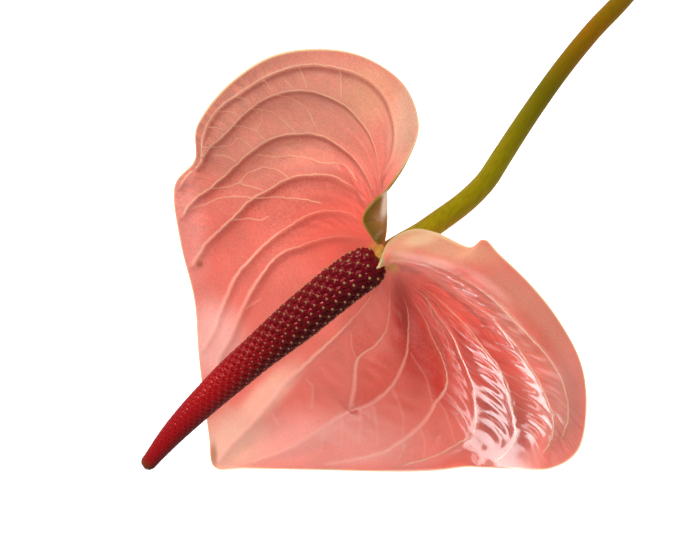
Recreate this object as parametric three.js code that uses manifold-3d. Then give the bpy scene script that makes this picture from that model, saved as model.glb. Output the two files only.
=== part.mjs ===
// A cut anthurium: one heart-shaped spathe and its spadix on a long smooth stem, lying on a table.
// The flower is drawn in its own frame, looking straight at its face, and is then laid on the table so
// that it rests along the lower margin of the spathe and on the cut end of the stem.
// Flower frame: x to the right, y up, z towards the viewer of the face. Table frame: +Z up, +Y from the
// flower towards the cut end. Millimetres.

import * as THREE from 'three';
import { mergeVertices } from 'three/addons/utils/BufferGeometryUtils.js';
import Module from 'manifold-3d';

const wasm = await Module();
wasm.setup();

// ---------- driving dimensions ----------

const GRID = 0.25;                  // one step of the drawing grid that the points below are given in
const EYE = 700;                    // the points are set on sight lines that meet this far in front
const GRID_MIDDLE = [350, 280];     // the sight line that runs straight along z
const FLOWER_ZERO = [383, 247];     // the grid point at x = 0, y = 0

const TABLE_UP = new THREE.Vector3(-0.236, 0.255, 0.938).normalize();   // the table's up, in the flower frame
const TABLE_LEVEL = -53.0;          // the table's height along TABLE_UP
const CENTRE = [2.61, 104.747];     // middle of the whole part on the table, before it is moved to the origin

const STEM_NECK_R = 2.9;            // where the spathe grows on
const STEM_MID_R = 2.45;
const STEM_END_R = 2.65;            // a cut stem thickens towards its foot
const STEM_SIDES = 14;
const STEM_STEPS = 52;

const SPADIX_AROUND = 12;           // florets in one turn
const SPADIX_STAGGER = 0.72;        // ring to ring, as a share of the width of a floret
const SPADIX_BULGE = 0.34;          // how far a floret stands out, where the spadix is thickest

const SPATHE_THICK = 0.7;
const COLLAR_R = 3.3;               // inner edge of the spathe, clear of the neck
const COLLAR_FROM = -52;            // degrees round the neck at which the collar starts
const COLLAR_SPAN = 297;
const THROAT_FLARE = 2.2;           // how far the spathe first spreads before it follows its spokes
const COLUMNS_PER_SPOKE = 3;
const ROWS = 23;                    // steps from the collar to the margin
const VEIN_RISE = 0.9;             // height of a main vein over the sagging panel beside it
const VEIN_WIDTH = 2.8;
const VEIN_START = [7, 18];         // distances from the neck over which the veins begin to stand out

// A grid point, brought to a depth z along its sight line.
function seen(a, b, z) {
  const k = (EYE - z) / EYE;
  return new THREE.Vector3(
    (GRID_MIDDLE[0] - FLOWER_ZERO[0]) * GRID + (a - GRID_MIDDLE[0]) * GRID * k,
    (FLOWER_ZERO[1] - GRID_MIDDLE[1]) * GRID + (GRID_MIDDLE[1] - b) * GRID * k,
    z);
}

// A grid point, brought along its sight line to a height over the table.
function onTable(a, b, height) {
  const near = seen(a, b, 0);
  const far = seen(a, b, -100);
  const h0 = near.dot(TABLE_UP) - TABLE_LEVEL - height;
  const h1 = far.dot(TABLE_UP) - TABLE_LEVEL - height;
  return seen(a, b, -100 * h0 / (h0 - h1));
}

// ---------- stem ----------

// Centre line from the foot of the spadix, through the collar of the spathe, to the cut end.
const STEM_LINE = [
  seen(383, 257.2, 0.5),
  seen(387, 254, 0),
  seen(400, 245.5, -1),
  seen(419, 235, -2.7),
  seen(440, 220.5, -5),
  seen(465, 202, -8),
  seen(486, 181, -11),
  seen(500, 159.5, -13.5),
  seen(526, 119.5, -18),
  seen(561, 70, -23),
  seen(593.5, 30, -27),
  seen(622, 0, -30.5),
  seen(706, -103, -39),
  onTable(801, -244, 13),
  onTable(896, -404, 6),
  onTable(985, -574, 2.55),
];
const NECK = STEM_LINE[1];
const NECK_AXIS = STEM_LINE[2].clone().sub(NECK).normalize();

// Closed solid through rings of equal count, from a first single point to a last one. `flip(j, k)` tells
// which way the quad between rings j and j + 1 at side k is split.
function ringSolid(rings, flip = () => false) {
  const points = [];
  const start = [];
  for (const ring of rings) {
    start.push(points.length);
    points.push(...ring);
  }
  const faces = [];
  for (let j = 0; j + 1 < rings.length; j += 1) {
    const n = Math.max(rings[j].length, rings[j + 1].length);
    for (let k = 0; k < n; k += 1) {
      const k1 = (k + 1) % n;
      const a = start[j] + (rings[j].length > 1 ? k : 0);
      const b = start[j] + (rings[j].length > 1 ? k1 : 0);
      const c = start[j + 1] + (rings[j + 1].length > 1 ? k : 0);
      const d = start[j + 1] + (rings[j + 1].length > 1 ? k1 : 0);
      if (a === b) faces.push(a, d, c);
      else if (c === d) faces.push(a, b, c);
      else if (flip(j, k)) faces.push(a, b, d, a, d, c);
      else faces.push(a, b, c, b, d, c);
    }
  }
  return { points, faces };
}

// A turned section along a curve: `radius(t, k)` at station t and side k.
function along(curve, stations, sides, radius) {
  const rings = [];
  let across = new THREE.Vector3(0, 0, 1);
  for (const [j, t] of stations.entries()) {
    const middle = curve.getPoint(t);
    const ahead = curve.getTangent(t);
    across = across.clone().addScaledVector(ahead, -across.dot(ahead)).normalize();
    const up = ahead.clone().cross(across);
    const ring = [];
    for (let k = 0; k < sides; k += 1) {
      const turn = 2 * Math.PI * k / sides;
      const r = radius(t, j, k);
      ring.push(middle.clone()
        .addScaledVector(across, r * Math.cos(turn))
        .addScaledVector(up, r * Math.sin(turn)));
    }
    rings.push(ring);
  }
  return rings;
}

function stemSolid() {
  const curve = new THREE.CatmullRomCurve3(STEM_LINE, false, 'centripetal');
  const length = curve.getLength();
  const neckAt = STEM_LINE[0].distanceTo(NECK);
  const radius = (t) => {
    const s = t * length;
    if (s < neckAt) return STEM_NECK_R - 0.5 * (1 - s / neckAt);
    const thin = THREE.MathUtils.smoothstep(s, 12, 70);
    const foot = THREE.MathUtils.smoothstep(s, 150, length);
    return STEM_NECK_R - (STEM_NECK_R - STEM_MID_R) * thin + (STEM_END_R - STEM_MID_R) * foot;
  };
  const even = [];
  for (let j = 0; j <= STEM_STEPS; j += 1) {
    even.push(curve.getUtoTmapping((j / STEM_STEPS) ** 1.15));
  }
  const arcOf = (j) => (j / STEM_STEPS) ** 1.15;
  const rings = along(curve, even, STEM_SIDES, (t, j) => radius(arcOf(j)));
  return ringSolid([[curve.getPoint(0)], ...rings, [curve.getPoint(1)]]);
}

// ---------- spadix ----------

const SPADIX_LINE = [
  seen(378.8, 261.1, 1.2),
  seen(356, 274, 0.8),
  seen(299, 319, -4),
  seen(226, 381, -12),
  seen(175, 431, -18),
  seen(144.3, 467.9, -22),
];
// Distance from the foot and radius there.
const SPADIX_OUTLINE = [
  [0, 3.2], [1.2, 4.35], [3, 5.1], [6.5, 5.4], [15, 5.45], [25, 5.4], [32, 5.05], [40, 4.55],
  [48, 4.4], [56, 4.0], [64, 3.55], [71, 3.05], [76, 2.6], [80, 2.15], [82.6, 1.4],
];

function outlineRadius(s) {
  const table = SPADIX_OUTLINE;
  if (s <= table[0][0]) return table[0][1];
  for (let i = 1; i < table.length; i += 1) {
    if (s <= table[i][0]) {
      const f = (s - table[i - 1][0]) / (table[i][0] - table[i - 1][0]);
      return table[i - 1][1] + f * (table[i][1] - table[i - 1][1]);
    }
  }
  return table[table.length - 1][1];
}

// Florets stand in staggered rings whose spacing follows the girth, so that each stays as long as it is
// wide. Every second corner of the net is a floret's crown and the corners between are its seams.
function spadixSolid() {
  const curve = new THREE.CatmullRomCurve3(SPADIX_LINE, false, 'centripetal');
  const length = curve.getLength();
  const stops = [];
  let s = 0;
  while (s < length - 0.8) {
    stops.push(s);
    s += SPADIX_STAGGER * 2 * Math.PI * outlineRadius(s) / SPADIX_AROUND;
  }
  const stations = stops.map((d) => curve.getUtoTmapping(d / length));
  const sides = 2 * SPADIX_AROUND;
  const rings = along(curve, stations, sides, (t, j, k) => {
    const girth = outlineRadius(stops[j]);
    const rise = SPADIX_BULGE * girth / 5.4;
    return girth - (j > 0 && (j + k) % 2 === 1 ? rise : 0);
  });
  return ringSolid([[curve.getPoint(0)], ...rings, [curve.getPoint(1)]], (j, k) => (j + k) % 2 === 0);
}

// ---------- spathe ----------

// Each spoke runs from the collar out to the margin. Its three points are the middle of the blade, the
// crest along the vein that follows the margin, and the margin itself, as [across, down, depth]. The
// spokes go round from the lobe at the upper left, over the tip, to the lobe at the right. A margin point
// with no depth lies on the table.
const SPOKES = [
  [[383, 243.8, 3.9], [381.2, 243.6, 5.3], [378.5, 244.5, 6.8]],
  [[384, 239, 3.4], [384.5, 232, 5.5], [371, 236, 8]],
  [[383.5, 229, 2], [385, 216, 5], [363, 219, 9]],
  [[382, 217, 0], [385, 202, 4.5], [373, 202, 9]],
  [[379, 203, -2.5], [386, 186, 4], [388, 189, 8]],
  [[373, 189, -6], [392, 160, 4], [408, 159, 6]],
  [[364, 177, -9], [397, 127, 3.5], [419, 124, 4]],
  [[352, 166, -12], [386, 96, 2], [404, 84.5, 2]],
  [[340, 158, -13], [356, 76, 0], [366, 57.5, 1]],
  [[326, 154, -14], [316, 66, -2], [320, 49, 0]],
  [[311, 155, -15], [276, 74, -4], [270, 57, -1]],
  [[297, 162, -16], [240, 99, -7], [226, 87, -4]],
  [[285, 176, -17], [213, 137, -11], [197, 126, -9]],
  [[278, 193, -18], [205, 165, -16], [194.5, 160, -15]],
  [[274, 211, -19], [198, 192, -20], [174.5, 187, -21]],
  [[274, 242, -21], [206, 243, -26], [180.5, 242, -27]],
  [[281, 280, -22], [218, 300, -32], [194.5, 300, -33]],
  [[294, 316, -23], [224, 355, -38], [199.2, 358, -40]],
  [[304, 334, -24], [231, 408, -44], [208, 423, -48]],
  [[312, 345, -25], [243, 437, -47], [216, 467]],
  [[333, 352, -25], [285, 444, -45], [262, 468]],
  [[356, 360, -25], [335, 448, -42], [320, 470]],
  [[379, 364, -25], [386, 449, -38], [380, 471.5]],
  [[399, 364, -26], [430, 447, -35], [430, 471]],
  [[415, 356, -25], [470, 441, -31], [476, 467]],
  [[427, 342, -18], [505, 433, -20], [515, 468, -22]],
  [[434, 327, -11], [532, 426, -9], [551, 468, -10]],
  [[438, 314, -5.2], [550, 406, -2], [578, 450, -3]],
  [[441, 303, -3.6], [550, 380, 2], [586.5, 408, 1]],
  [[441, 294, -2.3], [541, 354, 4], [581, 363, 3]],
  [[439, 286, -1.2], [522, 328, 5.5], [558.5, 320, 4]],
  [[434, 278, 0], [498, 303, 6.5], [530, 284, 5]],
  [[428, 272, 1.5], [470, 282, 7.5], [507.5, 263, 5.5]],
  [[421, 268, 2.8], [450, 271, 8], [485, 241, 6]],
  [[414, 265, 4], [432, 264, 8], [462, 248.5, 4.5]],
  [[406, 263, 5], [416, 260, 8.5], [436, 233, 5]],
  [[398, 261.5, 5.8], [402, 257, 9], [411, 230, 6]],
  [[391, 262, 6.2], [388, 257, 9.4], [388, 243, 8]],
  [[388, 264.5, 5.8], [383.5, 265, 8.2], [378, 268, 9.8]],
];

// Main veins, as points across the face: first those of the upper half, then the midrib, then those of
// the right half.
const VEINS = [
  [[388, 178], [395, 160], [398, 130], [388, 98], [365, 76], [330, 65], [300, 64], [270, 73], [240, 91],
    [220, 106], [209, 121], [203, 137], [202, 152], [196, 168], [181, 185]],
  [[384, 181], [381, 157], [374, 136], [361, 117], [348, 104], [333, 96], [313, 89], [293, 88],
    [265, 96], [240, 115], [215, 140], [200, 163], [188, 174]],
  [[377, 190], [369, 174], [356, 156], [344, 146], [329, 137], [314, 132], [295, 132], [250, 150],
    [220, 178], [203, 192], [184, 214]],
  [[369, 204], [352, 188], [336, 178], [314, 175], [290, 178], [261, 193], [233, 216], [206, 242],
    [192, 264]],
  [[362, 220], [352, 214], [336, 211], [319, 212], [299, 219], [276, 231], [250, 262], [228, 297],
    [203, 330]],
  [[366, 238], [340, 240], [310, 250], [278, 276], [252, 312], [230, 350], [210, 385]],
  [[384, 272], [372, 294], [348, 322], [330, 340], [309, 359], [287, 379], [272, 398], [253, 421],
    [234, 440], [218, 461]],
  [[389, 272], [390, 300], [385, 330], [365, 354], [354, 391], [347, 412]],
  [[395, 272], [408, 300], [410, 330], [403, 360], [390, 385], [370, 402], [350, 408], [320, 427],
    [290, 447], [252, 462]],
  [[398, 273], [421, 305], [437, 340], [449, 372], [447, 388], [436, 402], [425, 420], [408, 435],
    [390, 447], [370, 454], [325, 464]],
  [[400, 273], [425, 295], [448, 323], [463, 353], [472, 373], [478, 405], [474, 433], [457, 443],
    [437, 454], [405, 464]],
  [[402, 272], [430, 289], [460, 313], [483, 342], [502, 367], [512, 390], [518, 425], [514, 445],
    [495, 462]],
  [[404, 270], [432, 275], [463, 293], [487, 310], [512, 335], [530, 362], [543, 382], [552, 405],
    [556, 428], [545, 452]],
  [[392, 258], [416, 260], [432, 264], [470, 282], [498, 303], [522, 328], [545, 353], [562, 380],
    [569, 408], [562, 436]],
];

function neckFrame() {
  const front = new THREE.Vector3(0, 0, 1).addScaledVector(NECK_AXIS, -NECK_AXIS.z).normalize();
  const left = front.clone().cross(NECK_AXIS);
  return { front, left };
}

function spokePoints() {
  const { front, left } = neckFrame();
  return SPOKES.map(([middle, crest, margin], i) => {
    const share = i / (SPOKES.length - 1);
    const turn = THREE.MathUtils.degToRad(COLLAR_FROM + COLLAR_SPAN * share);
    const outward = left.clone().multiplyScalar(Math.cos(turn)).addScaledVector(front, -Math.sin(turn));
    const collar = NECK.clone().addScaledVector(outward, COLLAR_R);
    const half = seen(...middle);
    const flare = THROAT_FLARE * Math.sin(Math.PI * share) ** 0.7;
    const throat = collar.clone().lerp(half, 0.27).addScaledVector(outward, flare);
    const edge = margin.length === 3 ? seen(...margin) : onTable(...margin, 0);
    return [collar, throat, half, seen(...crest), edge];
  });
}

// The blade's middle surface: u counts spokes and v counts the five points of a spoke.
function bladeSurface() {
  const spokes = spokePoints();
  const hoops = [0, 1, 2, 3, 4].map((row) =>
    new THREE.CatmullRomCurve3(spokes.map((spoke) => spoke[row]), false, 'catmullrom', 0.5));
  const spokeAt = (u) => new THREE.CatmullRomCurve3(
    hoops.map((hoop) => hoop.getPoint(u / (SPOKES.length - 1))), false, 'centripetal');
  return { spokeAt };
}

// Brings the drawn veins down on the blade: each point goes to the nearest of a fine net of blade points.
function veinCurves(surface) {
  const net = [];
  for (let i = 0; i <= (SPOKES.length - 1) * 6; i += 1) {
    const spoke = surface.spokeAt(i / 6);
    for (let j = 4; j <= 48; j += 1) {
      const point = spoke.getPoint(j / 48);
      const k = EYE / (EYE - point.z);
      const a = GRID_MIDDLE[0] + (point.x - (GRID_MIDDLE[0] - FLOWER_ZERO[0]) * GRID) * k / GRID;
      const b = GRID_MIDDLE[1] - (point.y - (FLOWER_ZERO[1] - GRID_MIDDLE[1]) * GRID) * k / GRID;
      net.push({ point, a, b });
    }
  }
  return VEINS.map((vein) => {
    const onBlade = vein.map(([a, b]) => {
      let best = net[0];
      for (const spot of net) {
        if (Math.hypot(spot.a - a, spot.b - b) < Math.hypot(best.a - a, best.b - b)) best = spot;
      }
      return best.point;
    });
    return new THREE.CatmullRomCurve3(onBlade, false, 'centripetal').getPoints(90);
  });
}

function veinHeight(point, veins) {
  let nearest = Infinity;
  for (const vein of veins) {
    for (const spot of vein) nearest = Math.min(nearest, point.distanceToSquared(spot));
  }
  return VEIN_RISE * (Math.exp(-nearest / VEIN_WIDTH ** 2) - 0.4);
}

function gridFaces(columns, rows) {
  const faces = [];
  for (let i = 0; i + 1 < columns; i += 1) {
    for (let j = 0; j + 1 < rows; j += 1) {
      const a = i * rows + j;
      const b = a + rows;
      faces.push(a, b, a + 1);
      faces.push(b, b + 1, a + 1);
    }
  }
  return faces;
}

function gridNormals(points, faces) {
  const geometry = new THREE.BufferGeometry().setFromPoints(points);
  geometry.setIndex(faces);
  geometry.computeVertexNormals();
  const normal = geometry.getAttribute('normal');
  return points.map((point, i) => new THREE.Vector3().fromBufferAttribute(normal, i));
}

function spatheSolid() {
  const surface = bladeSurface();
  const veins = veinCurves(surface);
  const columns = (SPOKES.length - 1) * COLUMNS_PER_SPOKE + 1;
  const rows = ROWS + 1;
  const flat = [];
  for (let i = 0; i < columns; i += 1) {
    const spoke = surface.spokeAt(i / COLUMNS_PER_SPOKE);
    for (let j = 0; j < rows; j += 1) flat.push(spoke.getPointAt(j / ROWS));
  }
  const faces = gridFaces(columns, rows);
  const flatNormals = gridNormals(flat, faces);     // these point to the back of the blade
  const relief = flat.map((point, i) => {
    const out = (i % rows) / ROWS;
    const begin = THREE.MathUtils.smoothstep(point.distanceTo(NECK), ...VEIN_START);
    const fade = begin * (1 - THREE.MathUtils.smoothstep(out, 0.9, 1));
    return point.clone().addScaledVector(flatNormals[i], -fade * veinHeight(point, veins));
  });
  const normals = gridNormals(relief, faces);
  const front = relief.map((point, i) => point.clone().addScaledVector(normals[i], SPATHE_THICK / 2));
  const back = relief.map((point, i) => point.clone().addScaledVector(normals[i], -SPATHE_THICK / 2));
  const count = front.length;
  const closed = [...faces];
  for (let t = 0; t < faces.length; t += 3) {
    closed.push(faces[t] + count, faces[t + 2] + count, faces[t + 1] + count);
  }
  const edge = [];
  for (let i = 0; i < columns; i += 1) edge.push(i * rows);
  for (let j = 1; j < rows; j += 1) edge.push((columns - 1) * rows + j);
  for (let i = columns - 2; i >= 0; i -= 1) edge.push(i * rows + rows - 1);
  for (let j = rows - 2; j > 0; j -= 1) edge.push(j);
  edge.forEach((a, i) => {
    const b = edge[(i + 1) % edge.length];
    closed.push(b, a, a + count);
    closed.push(b, a + count, b + count);
  });
  return { points: [...front, ...back], faces: closed };
}

// ---------- laying it on the table ----------

function tableFrame() {
  const end = STEM_LINE[STEM_LINE.length - 1];
  const forward = end.clone().sub(NECK);
  forward.addScaledVector(TABLE_UP, -forward.dot(TABLE_UP)).normalize();
  const across = forward.clone().cross(TABLE_UP);
  const turn = new THREE.Matrix4().makeBasis(across, forward, TABLE_UP).transpose();
  return new THREE.Matrix4().makeTranslation(-CENTRE[0], -CENTRE[1], -TABLE_LEVEL).multiply(turn);
}

function geometryOf(points, faces) {
  const geometry = new THREE.BufferGeometry().setFromPoints(points);
  geometry.setIndex(faces);
  return geometry;
}

function toManifold(geometry) {
  const merged = mergeVertices(geometry, 1e-4);
  return new wasm.Manifold(new wasm.Mesh({
    numProp: 3,
    vertProperties: Float32Array.from(merged.getAttribute('position').array),
    triVerts: Uint32Array.from(merged.index.array),
  }));
}

// Takes off what would dip under the table, which leaves the small flats that the part rests on.
function trimmedAtTable(geometry) {
  const under = new THREE.BoxGeometry(900, 900, 40);
  under.translate(0, 0, -20);
  under.deleteAttribute('normal');
  under.deleteAttribute('uv');
  const mesh = toManifold(geometry).subtract(toManifold(under)).getMesh();
  const trimmed = new THREE.BufferGeometry();
  trimmed.setAttribute('position', new THREE.BufferAttribute(mesh.vertProperties, 3));
  trimmed.setIndex(new THREE.BufferAttribute(mesh.triVerts, 1));
  return trimmed;
}

function piece(name, solid, material) {
  const geometry = geometryOf(solid.points, solid.faces);
  geometry.applyMatrix4(tableFrame());
  const trimmed = trimmedAtTable(geometry);
  trimmed.computeVertexNormals();
  const mesh = new THREE.Mesh(trimmed, new THREE.MeshStandardMaterial(material));
  mesh.name = name;
  return mesh;
}

const anthurium = new THREE.Group();
anthurium.add(
  piece('stem', stemSolid(), { color: 0x7d6e02, roughness: 0.5, metalness: 0 }),
  piece('spathe', spatheSolid(), { color: 0xe57f6d, roughness: 0.35, metalness: 0 }),
  piece('spadix', spadixSolid(), { color: 0x6a0a12, roughness: 0.5, metalness: 0 }),
);

export default anthurium;
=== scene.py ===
# %% [markdown]
# # A cut anthurium, dressed for its portrait
#
# The flower lies on a table: one waved, heart-shaped spathe, the spadix that stands on it, and a
# long smooth stem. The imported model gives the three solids. They are simple, so each gets a finer
# piece here that keeps its form and its place, with the finish of living tissue.

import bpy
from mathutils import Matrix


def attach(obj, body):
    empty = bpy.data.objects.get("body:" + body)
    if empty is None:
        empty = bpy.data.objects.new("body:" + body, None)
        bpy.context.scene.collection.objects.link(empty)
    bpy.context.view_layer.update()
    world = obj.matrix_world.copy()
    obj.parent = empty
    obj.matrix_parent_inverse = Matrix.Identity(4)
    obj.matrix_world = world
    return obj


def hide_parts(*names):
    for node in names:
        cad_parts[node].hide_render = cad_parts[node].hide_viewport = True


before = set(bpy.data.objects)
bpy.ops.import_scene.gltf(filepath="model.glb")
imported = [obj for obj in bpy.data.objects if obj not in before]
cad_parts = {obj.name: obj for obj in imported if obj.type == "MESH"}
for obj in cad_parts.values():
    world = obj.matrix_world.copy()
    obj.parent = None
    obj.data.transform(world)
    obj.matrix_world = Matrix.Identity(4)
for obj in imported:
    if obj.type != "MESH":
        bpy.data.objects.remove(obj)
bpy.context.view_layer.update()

import math

import bmesh
import bpy
import numpy as np
from mathutils import Matrix, Vector
from mathutils.kdtree import KDTree

MM = 0.001

# %% [markdown]
# ## The drawing grid
#
# The flower was drawn looking straight at its face, on a grid of quarter millimetres whose sight
# lines meet 700 mm in front of the flower. Three helpers bring a point to its place: at a depth,
# at a height over the table, and from the flower's own frame into the table's.

# %% Grid points to millimetres
GRID = 0.25
EYE = 700.0
GRID_MIDDLE = (350.0, 280.0)
FLOWER_ZERO = (383.0, 247.0)
TABLE_UP = np.array([-0.236, 0.255, 0.938])
TABLE_UP /= np.linalg.norm(TABLE_UP)
TABLE_LEVEL = -53.0
CENTRE = (2.61, 104.747)


def seen(a, b, z):
    """A grid point at a depth z along its sight line, in flower millimetres."""
    k = (EYE - z) / EYE
    return np.array([
        (GRID_MIDDLE[0] - FLOWER_ZERO[0]) * GRID + (a - GRID_MIDDLE[0]) * GRID * k,
        (FLOWER_ZERO[1] - GRID_MIDDLE[1]) * GRID + (GRID_MIDDLE[1] - b) * GRID * k,
        z,
    ])


def on_table(a, b, height):
    """A grid point at a height over the table."""
    near = seen(a, b, 0) @ TABLE_UP - TABLE_LEVEL - height
    far = seen(a, b, -100) @ TABLE_UP - TABLE_LEVEL - height
    return seen(a, b, -100 * near / (near - far))


# Centre line of the stem, from the foot of the spadix to the cut end
STEM_LINE = np.array([
    seen(383, 257.2, 0.5), seen(387, 254, 0), seen(400, 245.5, -1), seen(419, 235, -2.7),
    seen(440, 220.5, -5), seen(465, 202, -8), seen(486, 181, -11), seen(500, 159.5, -13.5),
    seen(526, 119.5, -18), seen(561, 70, -23), seen(593.5, 30, -27), seen(622, 0, -30.5),
    seen(706, -103, -39), on_table(801, -244, 13), on_table(896, -404, 6),
    on_table(985, -574, 2.55),
])
NECK = STEM_LINE[1]

forward = STEM_LINE[-1] - NECK
forward -= (forward @ TABLE_UP) * TABLE_UP
forward /= np.linalg.norm(forward)
TURN = np.array([np.cross(forward, TABLE_UP), forward, TABLE_UP])
SHIFT = np.array([-CENTRE[0], -CENTRE[1], -TABLE_LEVEL])


def laid(points):
    """Flower millimetres to metres on the table."""
    return (np.asarray(points) @ TURN.T + SHIFT) * MM


print("neck on the table, mm:", np.round(laid(NECK) / MM, 1))

# %% [markdown]
# ## The camera
#
# It looks straight at the face of the flower from 700 mm, which is about 70 degrees above the
# table. A 144 mm lens on a 36 mm sensor sees 175 mm there: 700 steps of the grid.

# %% Camera
LENS_MM = 144
SENSOR_MM = 36
eye = laid(seen(*GRID_MIDDLE, 0) + np.array([0, 0, EYE]))
bpy.ops.object.camera_add(location=eye)
camera = bpy.context.object
camera.name = "camera"
facing = Matrix(TURN.tolist()).to_4x4()
camera.matrix_world = Matrix.Translation(eye) @ facing
camera.data.lens = LENS_MM
camera.data.sensor_width = SENSOR_MM
camera.data.clip_end = 20
bpy.context.scene.camera = camera
print("camera at", np.round(eye, 3))

# %% [markdown]
# ## Floor and light
#
# A flower portrait on white: a pale floor, a white paper roll round it, a white sky over
# everything, and a large soft box behind the left shoulder, which gives the spadix its bright
# side. A small spark at the same place puts a point of gloss on each floret. A weaker box
# opposite opens the shadows of the blade alone, so the spadix keeps its dark side. Three small
# white cards give no light of their own to matt skin. They only stand where the waxy skin
# mirrors them: two in front of the right lobe, one beside the rolled edge.


# %% Colour and node helpers
def rgb(code):
    """An sRGB hex colour as the linear values that Blender mixes light with."""
    parts = [int(code[i:i + 2], 16) / 255 for i in (1, 3, 5)]
    return [c / 12.92 if c <= 0.04045 else ((c + 0.055) / 1.055) ** 2.4 for c in parts] + [1.0]


def dressed_in(piece, name):
    """Puts a new empty material on a piece, in place of all others, and gives its node tree."""
    made = bpy.data.materials.new(name)
    made.use_nodes = True
    made.node_tree.nodes.clear()
    piece.data.materials.clear()
    piece.data.materials.append(made)
    return made.node_tree


def add(tree, kind, inputs=(), **settings):
    """One node. Inputs go by name or in order; each is a value, a socket, or a node to link."""
    made = tree.nodes.new("ShaderNode" + kind)
    for name, value in settings.items():
        setattr(made, name, value)
    for key, value in inputs.items() if isinstance(inputs, dict) else enumerate(inputs):
        if isinstance(value, bpy.types.Node):
            value = next(socket for socket in value.outputs if socket.enabled)
        if isinstance(value, bpy.types.NodeSocket):
            tree.links.new(value, made.inputs[key])
        else:
            made.inputs[key].default_value = value
    return made


# %% Floor, sky and soft boxes
STAGE_WHITE = rgb("#f7f7f7")
bpy.ops.mesh.primitive_plane_add(size=8, location=(0, 0, -0.0001))
floor = bpy.context.object
floor.name = "floor"
tree = dressed_in(floor, "white matt card")
card = add(tree, "BsdfPrincipled", {
    "Base Color": STAGE_WHITE, "Roughness": 0.9, "Specular IOR Level": 0.1,
    "Emission Color": rgb("#ffffff"), "Emission Strength": 0.80})
add(tree, "OutputMaterial", {"Surface": card})
floor.visible_glossy = False       # gloss sees the sky instead, so shaded sides stay deep

# A wide white paper roll stands round the floor, and only the camera sees it.
bpy.ops.mesh.primitive_cylinder_add(vertices=64, radius=3.9, depth=8, end_fill_type="NOTHING")
backdrop = bpy.context.object
backdrop.name = "backdrop"
tree = dressed_in(backdrop, "white paper roll")
paper = add(tree, "Emission", {"Color": STAGE_WHITE})
add(tree, "OutputMaterial", {"Surface": paper})
for kind_of_ray in ("diffuse", "glossy", "transmission", "shadow"):
    setattr(backdrop, "visible_" + kind_of_ray, False)

world = bpy.data.worlds.new("white studio")
bpy.context.scene.world = world
world.use_nodes = True
sky = world.node_tree.nodes["Background"]
sky.inputs["Color"].default_value = rgb("#ffffff")
sky.inputs["Strength"].default_value = 0.28

# Each light: name, where it stands and what it looks at, in metres, its two sides, its
# brightness, the piece that it lights, and whether it lights only the gloss there.
SHOULDER = (-0.62, 0.08, 1.20)
FLOWER = (0.0, -0.10, 0.03)
LIGHTS = [
    ("key box", SHOULDER, FLOWER, (0.5, 0.5), 16.0, "all", False),
    ("spark", SHOULDER, FLOWER, (0.14, 0.14), 60.0, "spadix", True),
    ("fill box", (0.36, -0.52, 1.08), FLOWER, (0.8, 0.8), 2.0, "blade", False),
    ("flat card", (0.016, -0.161, 0.001), (0.016, -0.161, 1.0), (0.038, 0.038), 6.5, "blade", True),
    ("front card", (-0.05, -0.34, 0.03), (0.0, -0.12, 0.03), (0.14, 0.04), 4.5, "blade", True),
    ("side card", (0.26, 0.03, 0.04), (-0.005, -0.098, 0.062), (0.05, 0.16), 4.0, "blade", True),
]
alone = {piece: bpy.data.collections.new(piece + " alone") for piece in ("blade", "spadix")}
for name, place, target, sides, brightness, lit_piece, gloss_only in LIGHTS:
    bpy.ops.object.light_add(type="AREA", location=place)
    light = bpy.context.object
    light.name = name
    light.rotation_euler = (Vector(target) - Vector(place)).to_track_quat("-Z", "Y").to_euler()
    light.data.shape = "RECTANGLE"
    light.data.size, light.data.size_y = sides
    light.data.energy = brightness * math.pi * sides[0] * sides[1]
    light.visible_camera = False
    if lit_piece != "all":
        light.light_linking.receiver_collection = alone[lit_piece]
    light.visible_diffuse = not gloss_only
bpy.context.scene.view_settings.view_transform = "Standard"
print("lights:", len(LIGHTS), "and the sky")


# %% [markdown]
# ## Curves through given points
#
# A Catmull-Rom curve passes through every point that it is given, so a form can be drawn by
# placing points. The function works on many curves at once, with one parameter for each, which
# keeps a fine blade quick to make.


# %% Catmull-Rom curves
def through(points, t, centripetal=True):
    """Points (n, curves, 3) at parameters t: one a curve, or many on a single curve."""
    before, after = 2 * points[:1] - points[1:2], 2 * points[-1:] - points[-2:-1]
    padded = np.concatenate([before, points, after])
    i = np.clip(np.floor(t).astype(int), 0, len(points) - 2)
    f = (t - i)[:, None]
    lane = np.arange(points.shape[1]) if points.shape[1] > 1 else np.zeros(len(t), int)
    p0, p1, p2, p3 = (padded[i + k, lane] for k in range(4))
    if centripetal:
        d0, d1, d2 = (np.maximum(((b - a) ** 2).sum(1, keepdims=True) ** 0.25, 1e-4)
                      for a, b in ((p0, p1), (p1, p2), (p2, p3)))
        t1 = ((p1 - p0) / d0 - (p2 - p0) / (d0 + d1) + (p2 - p1) / d1) * d1
        t2 = ((p2 - p1) / d1 - (p3 - p1) / (d1 + d2) + (p3 - p2) / d2) * d1
    else:
        t1, t2 = (p2 - p0) / 2, (p3 - p1) / 2
    rest = -3 * p1 + 3 * p2 - 2 * t1 - t2
    return p1 + t1 * f + rest * f ** 2 + (2 * p1 - 2 * p2 + t1 + t2) * f ** 3


def lengths_along(points):
    """The length of a line of points up to each of them."""
    return np.concatenate([[0], np.cumsum(np.linalg.norm(np.diff(points, axis=0), axis=1))])


def smooth_line(points, count):
    """A smooth line through a few points, as count points at even steps of its length."""
    points = np.asarray(points, float)
    fine = through(points[:, None], np.linspace(0, len(points) - 1, 40 * len(points)))
    run = lengths_along(fine)
    even = np.linspace(0, run[-1], count)
    return np.stack([np.interp(even, run, fine[:, k]) for k in range(3)], axis=1), run[-1]


def smoothstep(x, low, high):
    """A soft rise from 0 at low to 1 at high, or a fall where low is the greater."""
    s = np.clip((x - low) / (high - low), 0, 1)
    return s * s * (3 - 2 * s)


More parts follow.
